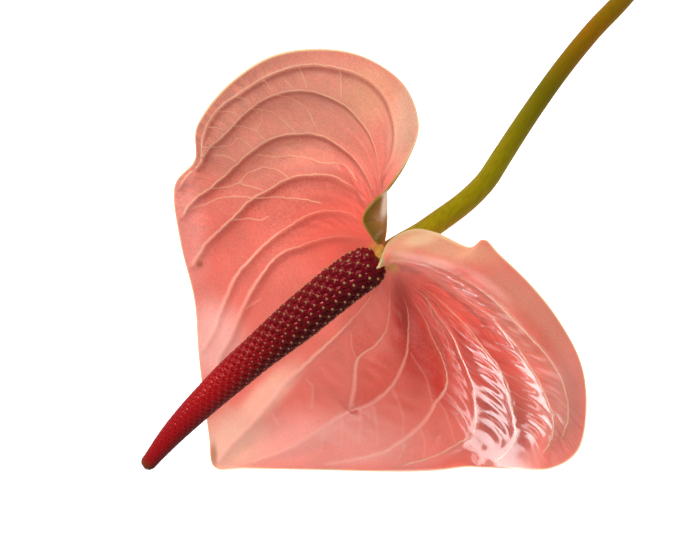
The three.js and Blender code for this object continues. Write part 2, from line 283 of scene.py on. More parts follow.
# %% Corners of a piece, and values kept on them for its material
def corners_of(piece):
    """The corners of a piece as an array (n, 3), in metres."""
    co = np.empty(len(piece.data.vertices) * 3)
    piece.data.vertices.foreach_get("co", co)
    return co.reshape(-1, 3)


def lift(piece):
    """Raises the corners that lie under the table's surface up to it."""
    co = corners_of(piece)
    co[:, 2] = np.maximum(co[:, 2], 0)
    piece.data.vertices.foreach_set("co", co.ravel())


def keep(piece, name, values, kind="FLOAT"):
    """Keeps a value, or a colour, for each corner of a piece."""
    made = piece.data.attributes.new(name, kind, "POINT")
    field = "value" if kind == "FLOAT" else "color"
    made.data.foreach_set(field, np.ravel(values).astype(np.float32))


# %% [markdown]
# ## Shape of the spathe
#
# The spathe is a modified leaf that grows round the neck. Thirty-nine spokes run from its collar
# to its margin. Each has a throat, a middle, a crest along the vein that follows the margin, and
# the margin itself. No operator lofts such a waved blade, so a grid primitive is laid over the
# spokes by formula, and modifiers then give it thickness and a round edge.

# %% Spokes of the blade: middle, crest and margin, as [across, down, depth]
SPOKES = [
    [[383, 243.8, 3.9], [381.2, 243.6, 5.3], [378.5, 244.5, 6.8]],
    [[384, 239, 3.4], [384.5, 232, 5.5], [371, 236, 8]],
    [[383.5, 229, 2], [385, 216, 5], [363, 219, 9]],
    [[382, 217, 0], [385, 202, 4.5], [373, 202, 9]],
    [[379, 203, -2.5], [386, 186, 4], [388, 189, 8]],
    [[373, 189, -6], [392, 160, 4], [408, 159, 6]],
    [[364, 177, -9], [397, 127, 3.5], [419, 124, 4]],
    [[352, 166, -12], [386, 96, 2], [404, 84.5, 2]],
    [[340, 158, -13], [356, 76, 0], [366, 57.5, 1]],
    [[326, 154, -14], [316, 66, -2], [320, 49, 0]],
    [[311, 155, -15], [276, 74, -4], [270, 57, -1]],
    [[297, 162, -16], [240, 99, -7], [226, 87, -4]],
    [[285, 176, -17], [213, 137, -11], [197, 126, -9]],
    [[278, 193, -18], [205, 165, -16], [194.5, 160, -15]],
    [[274, 211, -19], [198, 192, -20], [174.5, 187, -21]],
    [[274, 242, -21], [206, 243, -26], [180.5, 242, -27]],
    [[281, 280, -22], [218, 300, -32], [194.5, 300, -33]],
    [[294, 316, -23], [224, 355, -38], [199.2, 358, -40]],
    [[304, 334, -24], [229, 412, -44], [209, 434, -49]],
    [[312, 345, -25], [240, 439, -47], [215, 467.5]],
    [[333, 352, -25], [274, 445, -46], [246, 468.5]],
    [[356, 360, -25], [335, 448, -42], [320, 470]],
    [[379, 364, -25], [386, 449, -38], [380, 471.5]],
    [[399, 364, -26], [430, 447, -35], [430, 471]],
    [[415, 356, -25], [470, 441, -31], [476, 467]],
    [[427, 342, -18], [505, 433, -20], [515, 468, -22]],
    [[434, 327, -11], [532, 426, -9], [551, 468, -10]],
    [[438, 314, -5.2], [550, 406, -2], [578, 450, -3]],
    [[441, 303, -3.6], [550, 380, 2], [586.5, 408, 1]],
    [[441, 294, -2.3], [541, 354, 4], [581, 363, 3]],
    [[439, 286, -1.2], [522, 328, 5.5], [558.5, 320, 4]],
    [[434, 278, 0], [498, 303, 6.5], [530, 284, 5]],
    [[428, 272, 1.5], [470, 282, 7.5], [499, 254, 5.7]],
    [[421, 268, 2.8], [450, 271, 8], [485, 240, 6]],
    [[414, 265, 4], [432, 264, 8], [470, 248, 5]],
    [[406, 263, 5], [416, 260, 8.5], [436, 233, 5]],
    [[398, 261.5, 5.8], [402, 257, 9], [411, 230, 6]],
    [[391, 262, 6.2], [388, 257, 9.4], [388, 243, 8]],
    [[388, 264.5, 5.8], [383.5, 265, 8.2], [378, 268, 9.8]],
]
LAST_SPOKE = len(SPOKES) - 1
COLLAR_R = 2.75        # sunk a little into the neck, as the blade and the neck are one tissue
COLLAR_FROM = -52      # degrees round the neck at which the collar starts
COLLAR_SPAN = 297
THROAT_FLARE = 2.2     # how far the blade spreads in mm before it follows its spokes


# %% The blade as a surface: u counts spokes, v counts the five points of a spoke
def spoke_points():
    """The five points of every spoke, with its collar and throat added by rule."""
    axis = STEM_LINE[2] - NECK
    axis /= np.linalg.norm(axis)
    front = np.array([0, 0, 1.0]) - axis[2] * axis
    front /= np.linalg.norm(front)
    left = np.cross(front, axis)
    made = []
    for i, (middle, crest, margin) in enumerate(SPOKES):
        share = i / LAST_SPOKE
        turn = math.radians(COLLAR_FROM + COLLAR_SPAN * share)
        outward = left * math.cos(turn) - front * math.sin(turn)
        collar = NECK + COLLAR_R * outward
        half = seen(*middle)
        flare = THROAT_FLARE * max(math.sin(math.pi * share), 0) ** 0.7
        throat = collar + (half - collar) * 0.27 + outward * flare
        edge = seen(*margin) if len(margin) == 3 else on_table(*margin, 0)
        made.append([collar, throat, half, seen(*crest), edge])
    return np.array(made)


SPOKE_POINTS = spoke_points()


def blade_at(u, v):
    """Points of the blade's middle surface, in flower millimetres."""
    u, v = np.ravel(u).astype(float), np.ravel(v).astype(float)
    rows = [through(SPOKE_POINTS[:, row:row + 1], u, centripetal=False) for row in range(5)]
    return through(np.stack(rows), v)


# %% [markdown]
# ## Veins
#
# Strong veins leave the neck together, sweep out over the lobes and meet again in a line that
# follows the margin. Thinner twigs climb from one to the next. Both are drawn as points across
# the face and then brought down on the blade.

# %% Main veins: upper half, midrib, right half
VEINS = [
    [(388, 178), (395, 160), (398, 130), (388, 98), (365, 76), (330, 65), (300, 64), (270, 73),
     (240, 91), (220, 106), (209, 121), (203, 137), (202, 152), (196, 168), (181, 185)],
    [(384, 181), (381, 157), (374, 136), (361, 117), (348, 104), (333, 96), (313, 89),
     (293, 88), (265, 96), (240, 115), (215, 140), (200, 163), (188, 174)],
    [(377, 190), (369, 174), (356, 156), (344, 146), (329, 137), (314, 132), (295, 132),
     (250, 150), (220, 178), (203, 192), (184, 214)],
    [(369, 204), (352, 188), (336, 178), (314, 175), (290, 178), (261, 193), (233, 216),
     (206, 242), (192, 264)],
    [(362, 220), (352, 214), (336, 211), (319, 212), (299, 221), (277, 235), (256, 254),
     (238, 275), (227, 297), (218, 322), (204, 348)],
    [(366, 238), (352, 236), (338, 235), (322, 238), (303, 245), (285, 252), (268, 267),
     (252, 292), (239, 318), (226, 346), (210, 385)],
    [(384, 272), (372, 294), (348, 322), (330, 340), (309, 359), (287, 379), (272, 398),
     (253, 421), (234, 440), (218, 461)],
    [(389, 272), (388, 318), (377, 341), (358, 357), (355, 384), (351, 407)],
    [(395, 272), (408, 300), (410, 330), (403, 360), (390, 385), (370, 402), (350, 408),
     (320, 427), (290, 447), (252, 462)],
    [(398, 273), (421, 305), (437, 340), (449, 372), (447, 388), (436, 402), (425, 420),
     (408, 435), (390, 447), (370, 454), (325, 464)],
    [(400, 273), (425, 295), (448, 323), (463, 353), (472, 373), (478, 405), (474, 433),
     (457, 443), (437, 454), (405, 464)],
    [(402, 272), (430, 289), (460, 313), (483, 342), (502, 367), (512, 390), (518, 425),
     (514, 445), (495, 462)],
    [(404, 270), (432, 275), (463, 293), (487, 310), (512, 335), (530, 362), (543, 382),
     (552, 405), (556, 428), (545, 452)],
    [(392, 258), (416, 260), (432, 264), (470, 282), (498, 303), (522, 328), (545, 353),
     (562, 380), (569, 408), (562, 436)],
]
MIDRIB = 6             # its number in the list

# %% Twigs between them
TWIGS = [
    [(308, 87), (304, 76), (299, 66)],
    [(343, 97), (342, 84), (340, 69)],
    [(294, 87), (284, 77)],
    [(274, 91), (260, 77)],
    [(252, 103), (233, 95)],
    [(296, 131), (284, 120), (270, 111), (250, 107)],
    [(316, 125), (308, 110), (296, 101), (276, 92)],
    [(267, 140), (256, 130), (243, 126), (229, 123)],
    [(236, 113), (218, 111)],
    [(223, 128), (206, 126)],
    [(253, 147), (240, 138), (230, 145), (213, 145), (201, 144)],
    [(262, 111), (262, 121), (256, 130)],
    [(237, 160), (226, 155), (213, 155)],
    [(264, 190), (252, 186), (240, 183)],
    [(359, 183), (349, 169), (339, 164), (323, 163), (311, 159), (293, 156), (270, 157),
     (255, 153)],
    [(290, 178), (278, 170), (263, 168), (248, 173), (238, 183), (228, 187), (211, 186)],
    [(324, 204), (311, 201), (289, 198), (260, 197), (236, 196), (220, 198), (206, 204),
     (191, 208)],
    [(233, 218), (248, 219), (262, 220), (270, 216)],
    [(262, 298), (240, 312), (222, 338)],
    [(306, 377), (313, 389), (312, 409)],
    [(359, 357), (353, 346), (351, 330)],
    [(272, 411), (279, 424)],
    [(342, 415), (342, 446)],
    [(361, 405), (359, 444)],
    [(374, 403), (378, 446)],
    [(325, 424), (322, 452)],
    [(404, 440), (398, 458)],
    [(421, 426), (424, 458)],
    [(410, 349), (424, 374), (434, 402)],
    [(392, 384), (402, 412), (404, 436)],
    [(447, 388), (462, 412), (474, 426)],
    [(440, 399), (450, 424), (456, 442)],
    [(424, 291), (440, 322), (452, 352), (460, 376), (476, 396)],
    [(466, 322), (480, 350), (494, 372), (511, 388)],
    [(484, 344), (496, 372), (506, 396), (517, 414)],
    [(470, 372), (486, 392), (500, 408), (517, 427)],
    [(478, 400), (492, 420), (512, 440)],
    [(510, 386), (524, 398), (540, 406), (554, 422)],
    [(517, 404), (532, 416), (550, 432)],
    [(518, 424), (530, 432), (542, 448)],
    [(502, 367), (516, 378), (530, 390), (545, 394)],
    [(500, 322), (516, 346), (530, 366)],
    [(524, 356), (540, 372), (560, 384)],
    [(543, 384), (556, 394), (568, 408)],
    [(553, 406), (562, 414), (568, 424)],
]


# %% Bring drawn lines down on the blade
def to_grid(points):
    """Flower millimetres back to the drawing grid."""
    k = EYE / (EYE - points[:, 2])
    a = GRID_MIDDLE[0] + (points[:, 0] - (GRID_MIDDLE[0] - FLOWER_ZERO[0]) * GRID) * k / GRID
    b = GRID_MIDDLE[1] - (points[:, 1] - (FLOWER_ZERO[1] - GRID_MIDDLE[1]) * GRID) * k / GRID
    return a, b


# A net of known points, and the finer steps that are tried round the nearest of them
net_u, net_v = np.meshgrid(np.arange(0, LAST_SPOKE * 6 + 1) / 6, np.arange(4, 49) / 12,
                           indexing="ij")
net_u, net_v = net_u.ravel(), net_v.ravel()
net_a, net_b = to_grid(blade_at(net_u, net_v))
near_u, near_v = np.meshgrid(np.linspace(-0.1, 0.1, 13), np.linspace(-0.05, 0.05, 13))


def dropped(line, steps):
    """A drawn line on the blade: its points are looked up in (u, v) and smoothed there."""
    found = []
    for a, b in line:
        near = np.argmin(np.hypot(net_a - a, net_b - b))
        u = np.clip(net_u[near] + near_u.ravel(), 0, LAST_SPOKE)
        v = np.clip(net_v[near] + near_v.ravel(), 0, 4)
        fine_a, fine_b = to_grid(blade_at(u, v))
        best = np.argmin(np.hypot(fine_a - a, fine_b - b))
        found.append([u[best], v[best], 0])
    even, _ = smooth_line(found, steps)
    return blade_at(np.clip(even[:, 0], 0, LAST_SPOKE), np.clip(even[:, 1], 0, 4))


VEIN_STEPS, TWIG_STEPS = 420, 120
vein_lines = [dropped(vein, VEIN_STEPS) for vein in VEINS]
twig_lines = [dropped(twig, TWIG_STEPS) for twig in TWIGS]
print("veins:", len(vein_lines), "and twigs:", len(twig_lines))

# %% [markdown]
# ## The blade's fine grid
#
# A grid primitive of 418 by 110 faces gives about one face a millimetre. Its corners are placed at
# even steps along each spoke, so the rows stay even from the collar to the margin.

# %% Blade grid
COLUMNS = 418
ROWS = 110
bpy.ops.object.select_all(action="DESELECT")
bpy.ops.mesh.primitive_grid_add(x_subdivisions=COLUMNS, y_subdivisions=ROWS, size=2)
spathe = bpy.context.object
spathe.name = "spathe_blade"
flat = corners_of(spathe)
column = np.rint((flat[:, 0] + 1) / 2 * COLUMNS).astype(int)
row = np.rint((flat[:, 1] + 1) / 2 * ROWS).astype(int)
lookup = column * (ROWS + 1) + row

fine_v = np.linspace(0, 4, 161)
all_u = np.linspace(0, LAST_SPOKE, COLUMNS + 1)
dense = blade_at(np.repeat(all_u, len(fine_v)), np.tile(fine_v, len(all_u)))
dense = dense.reshape(len(all_u), len(fine_v), 3)
sheet = np.empty((COLUMNS + 1, ROWS + 1, 3))
from_margin = np.empty((COLUMNS + 1, ROWS + 1))
for i, spoke in enumerate(dense):
    run = lengths_along(spoke)
    even = np.linspace(0, run[-1], ROWS + 1)
    for k in range(3):
        sheet[i, :, k] = np.interp(even, run, spoke[:, k])
    from_margin[i] = run[-1] - even

# Unit normals, towards the face of the flower
corners = sheet.reshape(-1, 3)
normals = np.cross(np.gradient(sheet, axis=1), np.gradient(sheet, axis=0)).reshape(-1, 3)
normals /= np.linalg.norm(normals, axis=1, keepdims=True)
print("blade corners:", len(flat))

# %% [markdown]
# ## Where each corner lies among the veins
#
# For every corner the nearest point of every vein is looked up. That gives the distance to the
# nearest vein with a sign for its side, a lane number that runs smoothly from vein to vein, and
# how far out the corner lies along its lane. The material draws the net from these.


# %% Vein coordinates
def beside(lines, points, normals):
    """For each line and point: distance, side, run along the line, and 1 if not past its ends."""
    count = len(points)
    distance, side, run, inside = (np.empty((len(lines), count)) for _ in range(4))
    for n, line in enumerate(lines):
        step = np.gradient(line, axis=0)
        length = np.linalg.norm(step, axis=1, keepdims=True)
        ahead = step / length
        out = lengths_along(line)
        tree = KDTree(len(line))
        for k, spot in enumerate(line):
            tree.insert(spot, k)
        tree.balance()
        near = np.array([tree.find(point)[1] for point in points])
        away = points - line[near]
        along = (away * ahead[near]).sum(1)
        past = np.maximum(np.abs(along) - length[near, 0], 0)
        off = np.linalg.norm(away - along[:, None] * ahead[near], axis=1)
        distance[n] = np.hypot(off, past)
        side[n] = np.sign((np.cross(normals, ahead[near]) * away).sum(1))
        run[n] = out[near] + along
        inside[n] = smoothstep(np.minimum(run[n], out[-1] - run[n]), -0.1, 0.6)
    return distance, side, run, inside


BEYOND_MM = 12.0       # how far off the next vein counts where there is none
distance, side, run, inside = beside(vein_lines, corners, normals)
nearest = np.argmin(distance, axis=0)
here = np.arange(len(corners))
past = side[nearest, here]         # positive towards the vein with the next number
other = np.clip(nearest + np.where(past > 0, 1, -1), 0, len(VEINS) - 1)
near_mm = distance[nearest, here]
other_mm = np.where(other == nearest, BEYOND_MM, distance[other, here])
share = near_mm / (near_mm + other_mm)
lane = nearest + past * share
reach = run[nearest, here] * (1 - share) + run[other, here] * share
# A line is drawn only where it is clearly the nearest one, and not past its ends.
CLEAR, LOST = 0.36, 0.46
alone_here = inside[nearest, here] * smoothstep(share, LOST, CLEAR)
twig_mm, twig_side, _, twig_inside = beside(twig_lines, corners, normals)
twig = np.argmin(twig_mm, axis=0)
twig_near = twig_mm[twig, here]
next_twig = np.partition(twig_mm, 1, axis=0)[1]
twig_share = twig_near / (twig_near + next_twig)
twig_alone = twig_inside[twig, here] * smoothstep(twig_share, LOST, CLEAR)
neck_mm = np.linalg.norm(corners - NECK, axis=1)
print("lanes from", round(float(lane.min()), 2), "to", round(float(lane.max()), 2))

# %% [markdown]
# ## Relief
#
# The tissue stands up along the veins and sags between them, as on a quilt. On top of that come
# a narrow ridge on each vein, a lower one on each twig, and slanting puckers from vein to vein.

# %% Raise the veins
VEIN_RISE = 1.05
VEIN_WIDTH = 2.8
LEAST_HEIGHT = 0.36    # the blade is 0.7 mm thick, so its margin then rests on the table
rim_mm = from_margin.reshape(-1)
begin = smoothstep(neck_mm, 7, 18)
inward = rim_mm / np.repeat(from_margin[:, 0], ROWS + 1)       # 0 at the margin, 1 at the collar
fade = begin * smoothstep(inward, 0, 0.1)
right = smoothstep(lane, 8.6, 10.2)
lanes_off = np.abs(lane - MIDRIB)
slant = reach - 11 * np.minimum(lanes_off, 3) - 17 * np.maximum(lanes_off - 3, 0)
quilt = np.sin(2 * np.pi * slant / 5.2 + 1.3 * np.sin(reach / 7.0) + lane * 2.1)
between = np.sin(np.pi * np.mod(lane, 1.0)) ** 2


def fold_width(side_of_vein):
    """Half width of a fold in mm: steep below a vein of the left half, gentle above it."""
    lean = smoothstep(lane, MIDRIB + 1, MIDRIB - 1) * side_of_vein
    return np.where(lean > 0, VEIN_WIDTH - lean * (VEIN_WIDTH - 1.7), VEIN_WIDTH - 1.6 * lean)


folds = np.exp(-(near_mm / fold_width(past)) ** 2) + np.exp(-(other_mm / fold_width(-past)) ** 2)
on_crest = smoothstep(lane, 12.0, 13.0)
height = VEIN_RISE * (1 - 0.45 * on_crest) * (folds - 0.4)
height += 0.16 * (1 - 0.9 * on_crest) * np.exp(-(near_mm / 0.8) ** 2)
height += 0.14 * np.exp(-(twig_near / 0.9) ** 2)
height += (0.15 + 0.05 * right) * quilt * between * smoothstep(rim_mm, 3, 8)
raised = corners + (fade * height)[:, None] * normals
placed = laid(raised)[lookup]
placed[:, 2] = np.maximum(placed[:, 2], LEAST_HEIGHT * MM)
spathe.data.vertices.foreach_set("co", placed.ravel())

# %% [markdown]
# ## Tints
#
# The tissue is deep coral at the heart, tan and rose in the upper lobe, peach and cream where the
# edges fold over, and paler at the left margin and the tip. Some patches are painted light and
# shade: painted shade below the upper vein, beside the midrib, in the valley and fold and below
# the crest, painted highlights on the crest and the flare, and a painted glow beside the spadix,
# at the foot of the blade and at the lower left margin, where the tissue is paler too. Each patch
# is a soft ellipse on the drawing grid: its tint, its middle, its two radii, its turn in degrees
# and its strength.

# %% Tints and where they lie
TINTS = {
    "salmon": "#e67e6e", "coral": "#e4604e", "crimson": "#d0382c", "brick": "#da5040",
    "rose tan": "#e2a28c", "clay": "#d8927c", "cream": "#f4cba0", "blush": "#ffcabe",
    "ivory": "#f0c6ae", "sand": "#e6ba9e", "mauve": "#d69082", "russet": "#b4463a",
    "amber": "#d8a048", "buff": "#c89a58", "rust": "#a8602c", "tan": "#e4aa88",
    "apricot": "#ffceb4", "maroon": "#8c2820",
}
PATCHES = [
    ("upper lobe", "rose tan", (280, 105), (175, 118), -15, 0.9),
    ("top of the band", "tan", (372, 92), (44, 46), 40, 0.75),
    ("folded band", "sand", (410, 112), (26, 84), 8, 0.9),
    # Painted shade below the upper vein
    ("painted shade below the upper vein", "russet", (308, 196), (66, 36), -14, 0.4),
    ("top margin", "clay", (290, 58), (96, 14), -6, 0.3),
    ("heart", "coral", (352, 232), (84, 54), -10, 0.7),
    ("left margin", "blush", (186, 232), (30, 110), -6, 0.35),
    # Paler tissue with a painted glow of light through the thin lower left margin
    ("paler margin with painted glow", "blush", (212, 340), (46, 60), 0, 0.85),
    # Paler tissue at the foot of the blade, with painted light
    ("foot of the blade", "blush", (320, 446), (150, 54), 0, 0.5),
    # Painted glow on the blade beside the spadix
    ("painted glow beside the spadix", "apricot", (268, 394), (64, 20), -46, 0.7),
    ("tip", "ivory", (226, 444), (62, 48), -25, 0.85),
    # Painted shade: this and the next three patches darken beside the midrib, the valley and the
    # fold
    ("painted shade beside the midrib", "coral", (374, 372), (34, 62), 0, 0.35),
    ("valley", "crimson", (416, 330), (36, 80), -12, 0.9),
    ("painted shade deep in the valley", "maroon", (404, 302), (18, 46), -6, 0.5),
    ("fold", "crimson", (441, 372), (20, 56), -14, 0.95),
    ("wall", "brick", (478, 365), (54, 100), -25, 0.95),
    ("foot of the wall", "russet", (504, 424), (44, 60), -15, 0.85),
    ("orange of the wall", "coral", (440, 300), (16, 34), -35, 0.6),
    ("outer band", "clay", (532, 316), (36, 105), -38, 0.9),
    ("inner side of the band", "brick", (536, 336), (14, 52), -38, 0.4),
    ("far edge", "mauve", (568, 398), (30, 80), 0, 0.8),
    ("flare", "tan", (450, 247), (74, 24), 10, 0.9),
    ("foot of the flare", "tan", (400, 248), (22, 18), -30, 0.8),
    # Painted highlights: a soft highlight on the flare and a pale band along the crest
    ("painted highlight of the flare", "cream", (421, 240), (24, 9), -10, 0.9),
    ("crest", "blush", (428, 261), (48, 6), 13, 0.45),
    ("painted highlight further out on the crest", "blush", (486, 283), (42, 7), 36, 0.35),
    # Painted shade below the rolled crest
    ("painted shade below the crest", "russet", (408, 268), (20, 5), 16, 0.6),
    ("root of the lobe", "buff", (393, 267), (10, 7), 10, 0.8),
    ("seat of the spadix", "amber", (377, 251), (12, 13), 0, 0.95),
    ("bruise", "rust", (200, 263), (4, 6), 40, 0.8),
    ("scorch", "rust", (214, 455), (6, 18), 0, 0.6),
]
grid_a, grid_b = to_grid(corners)


def patch(middle_at, radii, turn):
    """How much each corner of the blade lies in a soft ellipse on the grid, 0 to 1."""
    c, s = math.cos(math.radians(turn)), math.sin(math.radians(turn))
    right_of, below = grid_a - middle_at[0], grid_b - middle_at[1]
    out = np.hypot((right_of * c + below * s) / radii[0], (below * c - right_of * s) / radii[1])
    return smoothstep(out, 1.0, 0.25)


paint = np.tile(rgb(TINTS["salmon"]), (len(corners), 1))
for name, tint, middle_at, radii, turn, strength in PATCHES:
    weight = strength * patch(middle_at, radii, turn)[:, None]
    paint = paint * (1 - weight) + np.array(rgb(TINTS[tint])) * weight

# %% Keep the coordinates and the tints on the piece for its material
FAR_MM = 4             # beyond this the distance to a line no longer matters
spoke_here = np.repeat(all_u, ROWS + 1)
deep = smoothstep(-corners[:, 2], 16, 34) * (1 - right)
past_crest = smoothstep(lane, 13.0, 13.25)
waxy = smoothstep(lane, 9.0, 10.2) * (1 - 0.95 * past_crest)
waxy *= 0.08 + 0.92 * np.maximum(smoothstep(neck_mm, 18, 36), smoothstep(lane, 11.8, 12.6))
DULL = [
    ((568, 458), (54, 42), 0), ((425, 270), (46, 14), 16), ((452, 458), (34, 22), 0),
    ((404, 268), (24, 18), 0), ((538, 456), (24, 20), 0),
]
for ellipse in DULL:
    waxy *= 1 - 0.85 * patch(*ellipse)
glare = patch((498, 428), (38, 56), -15)
heart = patch((350, 232), (90, 60), -10)
olive = smoothstep(neck_mm, 26, 14) * smoothstep(spoke_here, 10, 6)
upper = smoothstep(lane, 6.0, 3.0)
ribbed = smoothstep(lane, 8.4, 9.4) * (1 - past_crest) + 0.4 * upper + 0.6 * olive
lower_corner = patch((556, 442), (56, 60), 0)
upper_left = upper * smoothstep(spoke_here, 9, 11) * smoothstep(spoke_here, 16, 13.5)
hatched = smoothstep(rim_mm, 16, 6) * (0.7 * upper_left + 0.8 * lower_corner)
hatched += 0.65 * glare
fold_line = smoothstep(grid_a, 342, 366) * smoothstep(lane, 0.7, 0.3)
KEPT = {
    # Veins and twigs: signed distance in mm, where they show, half their width in mm
    "vein": np.clip(near_mm * past, -FAR_MM, FAR_MM),
    "vein_near": begin * alone_here * smoothstep(near_mm, 2.6, 1.6),
    "vein_half": 0.27 + 0.70 * deep,
    "vein_show": (0.85 - 0.38 * deep) * (0.35 + 0.65 * smoothstep(neck_mm, 16, 40))
                 * (1 - 0.5 * heart) * (1 - 0.8 * fold_line),
    # Painted shade, a deeper red just below each vein of the left half
    "painted_vein_shade": begin * smoothstep(lane, 7.0, 5.0) * (1 - 0.7 * deep) * (1 - 0.4 * heart)
              * smoothstep(neck_mm, 12, 30) * smoothstep(share, 0.46, 0.25),
    "twig": np.clip(twig_near * twig_side[twig, here], -FAR_MM, FAR_MM),
    "twig_near": (0.5 + 0.5 * upper) * (1 - 0.4 * deep) * begin * twig_alone
                 * smoothstep(twig_near, 1.5 + 0.5 * deep, 0.8 + 0.5 * deep),
    "twig_half": 0.28 + 0.55 * deep,
    # Shares from 0 to 1 of what shows where
    "deep": deep,
    "net": smoothstep(neck_mm, 18, 34) * (1 - deep) * (1 - right),
    "ribbed": ribbed * begin * smoothstep(neck_mm, 52, 26),
    "hatched": hatched,
    "olive": olive,
    "waxy": waxy,
    "creased": waxy * (1 - 0.85 * glare) * smoothstep(rim_mm, 0.5, 4),
    # A painted highlight streak on the back of the rolled edge
    "painted_curl_highlight": patch((384, 203), (6, 24), 8),
    "grain_low": 0.80 + 0.1 * (1 - upper),
    # Coordinates that the patterns run along, and the rim
    "lanes_off": lanes_off,
    "slant": slant,
    "spoke": spoke_here,
    "neck": neck_mm,
    "rim": rim_mm,
    "rim_wide": 0.55 + 2.0 * smoothstep(spoke_here, 33, 36.5) * smoothstep(neck_mm, 34, 12),
    "green_rim": np.maximum(smoothstep(spoke_here, 6.0, 3.5),
                            0.45 * smoothstep(spoke_here, 34.5, 37)),
}
for name, values in KEPT.items():
    keep(spathe, name, values[lookup])
keep(spathe, "paint", paint[lookup], "FLOAT_COLOR")
print("kept on the blade:", ", ".join(KEPT), "and the paint of", len(PATCHES), "patches")

# %% Thickness, back and round edge
BLADE_THICK = 0.7
solidify = spathe.modifiers.new("thickness", "SOLIDIFY")
solidify.thickness = BLADE_THICK * MM
solidify.offset = 0
bpy.ops.object.modifier_apply(modifier="thickness")
back = np.zeros(len(spathe.data.vertices))
back[:len(flat)] = 1               # the first half of the corners is the back now
keep(spathe, "back", back)
bevel = spathe.modifiers.new("round edge", "BEVEL")
bevel.width = 0.26 * MM
bevel.segments = 2
bevel.limit_method = "ANGLE"
bevel.angle_limit = math.radians(65)
bpy.ops.object.modifier_apply(modifier="round edge")
lift(spathe)
bpy.ops.object.shade_smooth()
spathe.data.calc_loop_triangles()
print("spathe triangles:", len(spathe.data.loop_triangles), "back corners:", int(back.sum()))

# %% [markdown]
# ## Stem
#
# A straight cylinder is cut into short rings, given the stem's swelling girth, and then bent along
# the stem's line by a Curve modifier. Its end cap is the plain cut.


# %% A straight rod of rings, and the line that bends it
def rod(name, length, cuts, sides):
    """A closed cylinder along +X from 0 to length, in metres, cut into even rings."""
    bpy.ops.object.select_all(action="DESELECT")
    bpy.ops.mesh.primitive_cylinder_add(vertices=sides, radius=MM, depth=length,
                                        location=(length / 2, 0, 0),
                                        rotation=(0, math.pi / 2, 0))
    made = bpy.context.object
    made.name = name
    bpy.ops.object.transform_apply(location=True, rotation=True, scale=True)
    bpy.ops.object.mode_set(mode="EDIT")
    bpy.ops.mesh.select_all(action="DESELECT")
    shape = bmesh.from_edit_mesh(made.data)
    for edge in shape.edges:
        a, b = edge.verts
        edge.select = abs(a.co.x - b.co.x) > length / 2
    bmesh.update_edit_mesh(made.data)
    bpy.ops.mesh.subdivide(number_cuts=cuts)
    bpy.ops.object.mode_set(mode="OBJECT")
    return made


def bent(piece, line):
    """Bends a piece that was made along +X so that it follows a line, in metres."""
    path = bpy.data.curves.new("path", "CURVE")
    path.dimensions = "3D"
    spline = path.splines.new("POLY")
    spline.points.add(len(line) - 1)
    for point, place in zip(spline.points, line):
        point.co = (*place, 1)
    guide = bpy.data.objects.new("guide", path)
    bpy.context.scene.collection.objects.link(guide)
    bpy.ops.object.select_all(action="DESELECT")
    bpy.context.view_layer.objects.active = piece
    piece.select_set(True)
    bend = piece.modifiers.new("bend", "CURVE")
    bend.object = guide
    bend.deform_axis = "POS_X"
    bpy.ops.object.modifier_apply(modifier="bend")
    bpy.data.objects.remove(guide)


def girth(piece, radius_at):
    """Gives a rod its radius, a function of the mm along it, and keeps those mm as well."""
    points = corners_of(piece)
    along_mm = points[:, 0] / MM
    points[:, 1:] *= radius_at(along_mm)[:, None]
    piece.data.vertices.foreach_set("co", points.ravel())
    keep(piece, "along", along_mm)


# %% Stem piece
NECK_R, MIDDLE_R, FOOT_R = 2.9, 2.45, 2.65
IN_SPADIX = seen(377.5, 262.5, 1.4)        # the stem's own start, hidden in the spadix's foot
stem_line, stem_mm = smooth_line(np.vstack([IN_SPADIX, STEM_LINE]), 260)
stem = rod("stem_rod", stem_mm * MM, 220, 28)


def stem_radius(s):
    """Radius in mm at s mm: a blunt start, a neck, a thinner middle, a foot that swells."""
    start = 0.5 * np.clip(1 - s / 1.3, 0, 1)
    thin = smoothstep(s, 12, 70)
    foot = smoothstep(s, 150, stem_mm)
    return NECK_R - start - (NECK_R - MIDDLE_R) * thin + (FOOT_R - MIDDLE_R) * foot


girth(stem, stem_radius)
bent(stem, laid(stem_line))
lift(stem)
bpy.ops.object.shade_smooth_by_angle(angle=math.radians(50))
print("stem length in mm:", round(stem_mm, 1))

# %% [markdown]
# ## Spadix
#
# Hundreds of tiny flowers cover a tapering spike. On the real one they sit in two sets of spirals,
# as the scales of a cone do: each new flower turns by the golden angle from the last. One flower
# is modelled and copied by that rule, larger at the foot and smaller towards the tip.

# %% Spadix outline
SPADIX_LINE = np.array([
    seen(378.8, 261.1, 1.2), seen(356, 274, 0.8), seen(299, 319, -4), seen(226, 381, -12),
    seen(175, 431, -18), seen(144.3, 467.9, -22),
])
OUTLINE = np.array([
    [0, 3.2], [1.2, 4.35], [3, 5.1], [6.5, 5.4], [15, 5.45], [25, 5.4], [32, 5.05], [40, 4.55],
    [48, 4.4], [56, 4.0], [64, 3.55], [71, 3.05], [76, 2.6], [80, 2.2], [84, 1.9],
])
ROUND_TIP = 2.1        # the last stretch closes as a dome
spadix_line, spadix_mm = smooth_line(SPADIX_LINE, 160)
core = rod("spadix", spadix_mm * MM, 110, 40)
CORE_INSET = 0.42      # how far the spike's own skin lies under the crowns of its flowers


def outline(s):
    """The spadix's radius in mm at s mm from its foot."""
    into_dome = np.clip((s - spadix_mm + ROUND_TIP) / ROUND_TIP, 0, 1)
    return np.interp(s, OUTLINE[:, 0], OUTLINE[:, 1]) * np.sqrt(1 - into_dome ** 2)


girth(core, lambda s: np.maximum(outline(s) - CORE_INSET, 0.1))

